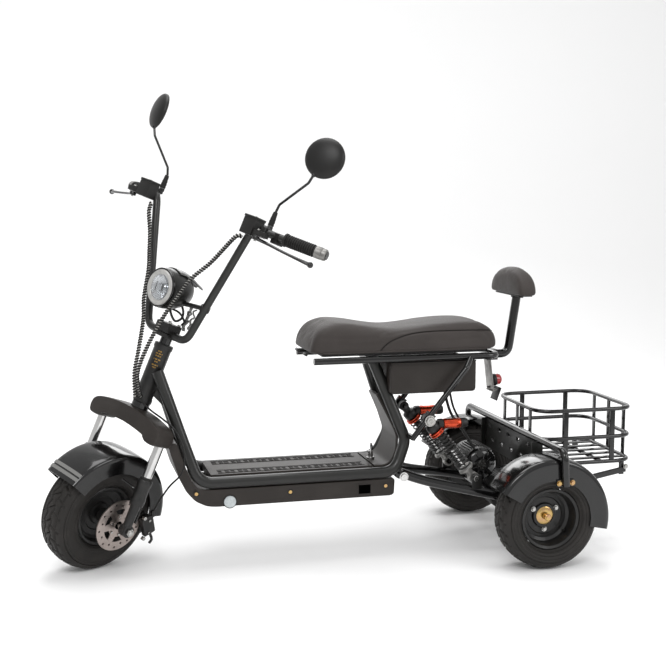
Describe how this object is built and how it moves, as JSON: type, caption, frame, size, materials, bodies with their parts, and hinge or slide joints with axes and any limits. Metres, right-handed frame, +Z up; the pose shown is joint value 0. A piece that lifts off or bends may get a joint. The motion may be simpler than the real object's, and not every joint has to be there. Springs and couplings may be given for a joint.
{
  "type": "three-wheel electric scooter",
  "caption": "Adult electric three-wheeler with fat tyres, low step-through deck, long saddle with a small backrest, twin rear wheels with fenders, and a wire basket behind.",
  "frame": {"origin": "on the ground, under the middle of the vehicle's bounding box", "axes": "+X towards the rear, +Y towards the vehicle's right side, +Z up; the front wheel is turned to the left lock at rest"},
  "size_m": [1.7513, 0.771, 1.3539],
  "materials": {
    "black_paint": "gloss black paint",
    "black_plastic": "matt moulded plastic",
    "brown_leather": "dark brown grained leatherette over foam",
    "rubber": "matt black rubber",
    "chrome": "bright chrome plate",
    "steel": "brushed steel",
    "aluminium": "satin cast aluminium",
    "red_lens": "clear red lens",
    "clear_lens": "clear lens over a bright reflector",
    "red_anodised": "bright red anodising",
    "cell_green": "shrink sleeve"
  },
  "bodies": {
    "frame": {"head_tube": "black_paint", "frame_tube_left": "black_paint", "frame_tube_right": "black_paint", "seat_subframe": "black_paint", "lower_hull": "black_plastic", "battery_pack": "cell_green", "rear_upstand": "black_plastic", "under_seat_box": "black_plastic", "backrest_post": "black_paint", "backrest_pad": "brown_leather", "tail_lamp": "red_lens"},
    "steering": {"fork_crown": "black_paint", "stanchion_left": "chrome", "stanchion_right": "chrome", "crown_cover": "black_plastic", "handlebar": "black_paint", "grip_left": "rubber", "master_cylinder_left": "black_plastic", "master_cylinder_right": "black_plastic", "headlight_bowl": "black_paint", "headlight_lens": "clear_lens", "brake_hose_left": "rubber", "brake_hose_right": "rubber"},
    "fork_lower": {"fork_slider_left": "black_paint", "fork_slider_right": "black_paint", "front_axle": "chrome", "front_fender": "black_paint", "brake_caliper": "black_paint", "caliper_hose": "rubber"},
    "front_wheel": {"front_tyre": "rubber", "front_rim": "black_paint", "brake_disc": "steel"},
    "throttle": {"throttle_grip": "rubber"},
    "lever_left": {"brake_lever_left": "black_paint"},
    "lever_right": {"brake_lever_right": "black_paint"},
    "mirror_arm_left": {"mirror_stem_left": "black_paint"},
    "mirror_arm_right": {"mirror_stem_right": "black_paint"},
    "mirror_left": {"mirror_head_left": "black_plastic"},
    "mirror_right": {"mirror_head_right": "black_plastic"},
    "rear_carriage": {"swing_arm": "black_paint", "rear_axle_unit": "black_paint", "drive_motor": "aluminium", "rear_hoop": "black_paint", "rear_fender_left": "black_paint", "rear_fender_right": "black_paint", "rear_basket": "black_paint"},
    "rear_wheel_left": {"rear_tyre_left": "rubber", "rear_rim_left": "black_paint"},
    "rear_wheel_right": {"rear_tyre_right": "rubber", "rear_rim_right": "black_paint"},
    "shock_upper_left": {"shock_body_left": "red_anodised", "shock_spring_left": "black_paint"},
    "shock_upper_right": {"shock_body_right": "red_anodised", "shock_spring_right": "black_paint"},
    "shock_lower_left": {"shock_rod_left": "chrome"},
    "shock_lower_right": {"shock_rod_right": "chrome"},
    "seat": {"seat_base": "black_plastic", "seat_cushion": "brown_leather"},
    "deck_cover": {"deck_lid": "black_plastic"},
    "key": {"ignition_key": "chrome"}
  },
  "joints": [
    {"name": "steering_turn", "type": "hinge", "parent": "frame", "child": "steering", "pos_m": [-0.79, 0, 0], "axis": [0.3811, 0, 0.9245], "range_deg": [-72.9, 3]},
    {"name": "fork_travel", "type": "slide", "parent": "steering", "child": "fork_lower", "axis": [0.3811, 0, 0.9245], "range_m": [0, 0.045], "stiffness_N_per_m": 9000, "springref_m": -0.08, "deforming": ["caliper_hose"]},
    {"name": "front_wheel_spin", "type": "hinge", "parent": "fork_lower", "child": "front_wheel", "pos_m": [-0.72753, -0.00343, 0.16447], "axis": [-0.529, 0.8201, 0.218], "continuous": true},
    {"name": "throttle_twist", "type": "hinge", "parent": "steering", "child": "throttle", "pos_m": [-0.54806, 0.23537, 1.06842], "axis": [-0.2316, 0.9681, 0.0954], "range_deg": [0, 60], "stiffness_Nm_per_rad": 0.6, "springref_deg": -17.19},
    {"name": "brake_lever_left_pull", "type": "hinge", "parent": "steering", "child": "lever_left", "pos_m": [-0.31448, -0.2663, 0.94457], "axis": [0.3811, 0, 0.9245], "range_deg": [0, 18], "stiffness_Nm_per_rad": 1.2, "springref_deg": -22.92},
    {"name": "brake_lever_right_pull", "type": "hinge", "parent": "steering", "child": "lever_right", "pos_m": [-0.59378, 0.16674, 1.05968], "axis": [-0.3811, 0, -0.9245], "range_deg": [0, 18], "stiffness_Nm_per_rad": 1.2, "springref_deg": -22.92},
    {"name": "mirror_arm_left_turn", "type": "hinge", "parent": "steering", "child": "mirror_arm_left", "pos_m": [-0.26118, -0.20057, 0.97343], "axis": [0.3811, 0, 0.9245], "range_deg": [-30, 30]},
    {"name": "mirror_left_turn", "type": "hinge", "parent": "mirror_arm_left", "child": "mirror_left", "pos_m": [-0.16524, -0.3005, 1.10965], "axis": [0.3811, 0, 0.9245], "range_deg": [-20, 20]},
    {"name": "mirror_arm_right_turn", "type": "hinge", "parent": "steering", "child": "mirror_arm_right", "pos_m": [-0.50662, 0.17998, 1.0746], "axis": [0.3811, 0, 0.9245], "range_deg": [-30, 30]},
    {"name": "mirror_right_turn", "type": "hinge", "parent": "mirror_arm_right", "child": "mirror_right", "pos_m": [-0.51966, 0.249, 1.25573], "axis": [0.3811, 0, 0.9245], "range_deg": [-20, 20]},
    {"name": "rear_carriage_swing", "type": "hinge", "parent": "frame", "child": "rear_carriage", "pos_m": [0.148, 0, 0.239], "axis": [0, -1, 0], "range_deg": [0, 10], "stiffness_Nm_per_rad": 2500, "springref_deg": -11.46},
    {"name": "shock_left_swing", "type": "hinge", "parent": "frame", "child": "shock_upper_left", "pos_m": [0.22, -0.108, 0.405], "axis": [0, -1, 0], "range_deg": [0, 6.8]},
    {"name": "shock_left_stroke", "type": "slide", "parent": "shock_upper_left", "child": "shock_lower_left", "axis": [-0.6335, 0, 0.7738], "range_m": [0, 0.0295], "deforming": ["shock_spring_left"]},
    {"name": "shock_right_swing", "type": "hinge", "parent": "frame", "child": "shock_upper_right", "pos_m": [0.22, 0.108, 0.405], "axis": [0, -1, 0], "range_deg": [0, 6.8]},
    {"name": "shock_right_stroke", "type": "slide", "parent": "shock_upper_right", "child": "shock_lower_right", "axis": [-0.6335, 0, 0.7738], "range_m": [0, 0.0295], "deforming": ["shock_spring_right"]},
    {"name": "rear_wheel_left_spin", "type": "hinge", "parent": "rear_carriage", "child": "rear_wheel_left", "pos_m": [0.513, -0.306, 0.147], "axis": [0, 1, 0], "continuous": true},
    {"name": "rear_wheel_right_spin", "type": "hinge", "parent": "rear_carriage", "child": "rear_wheel_right", "pos_m": [0.513, 0.306, 0.147], "axis": [0, 1, 0], "continuous": true},
    {"name": "seat_lift", "type": "hinge", "parent": "frame", "child": "seat", "pos_m": [-0.13, 0, 0.6], "axis": [0, -1, 0], "range_deg": [0, 75]},
    {"name": "deck_cover_lift", "type": "hinge", "parent": "frame", "child": "deck_cover", "pos_m": [-0.414, 0, 0.2715], "axis": [0, -1, 0], "range_deg": [0, 34]},
    {"name": "key_turn", "type": "hinge", "parent": "frame", "child": "key", "pos_m": [0.082, 0, 0.27], "axis": [0, 0, -1], "range_deg": [0, 90]}
  ],
  "couplings": [
    {"joint": "shock_left_swing", "follows": "rear_carriage_swing", "ratio": 0.6683},
    {"joint": "shock_left_stroke", "follows": "rear_carriage_swing", "m_per_rad": 0.16528},
    {"joint": "shock_right_swing", "follows": "rear_carriage_swing", "ratio": 0.6683},
    {"joint": "shock_right_stroke", "follows": "rear_carriage_swing", "m_per_rad": 0.16528}
  ]
}
